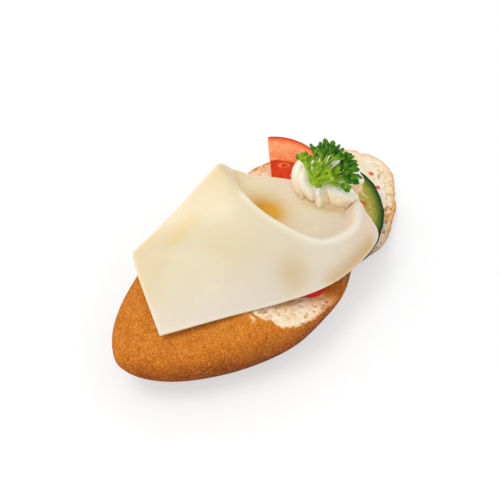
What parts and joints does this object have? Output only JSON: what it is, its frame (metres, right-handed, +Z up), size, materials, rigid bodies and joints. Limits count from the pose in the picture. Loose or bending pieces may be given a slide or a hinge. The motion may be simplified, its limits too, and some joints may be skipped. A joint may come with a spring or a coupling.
{
  "type": "open sandwich",
  "caption": "Heel of a soft white loaf, cut on a slope and topped with a draped slice of cheese, bias-cut cucumber, tomato, a piped star of mayonnaise and curled parsley.",
  "frame": {"origin": "middle of the length and width of the loaf's flat underside, on the ground plane", "axes": "+X along the loaf, from its rounded end towards the thin end of the sloping cut; +Z up, away from the underside"},
  "size_m": [0.1548, 0.0664, 0.0513],
  "materials": {
    "crust": "dry golden crust over a soft white crumb",
    "spread": "soft and slightly moist",
    "cucumber": "wet, translucent flesh with a dark green skin",
    "tomato": "wet and glossy",
    "cheese": "smooth, waxy and slightly translucent",
    "cream": "smooth and creamy, soft sheen",
    "parsley": "matte leaf"
  },
  "bodies": {
    "root": {"bread": "crust", "spread": "spread", "cucumber_slice": "cucumber", "tomato_slice_near": "tomato", "tomato_slice_far": "tomato", "tomato_wedge": "tomato", "cheese_slice": "cheese", "rosette": "cream", "parsley_sprig": "parsley"}
  },
  "joints": []
}
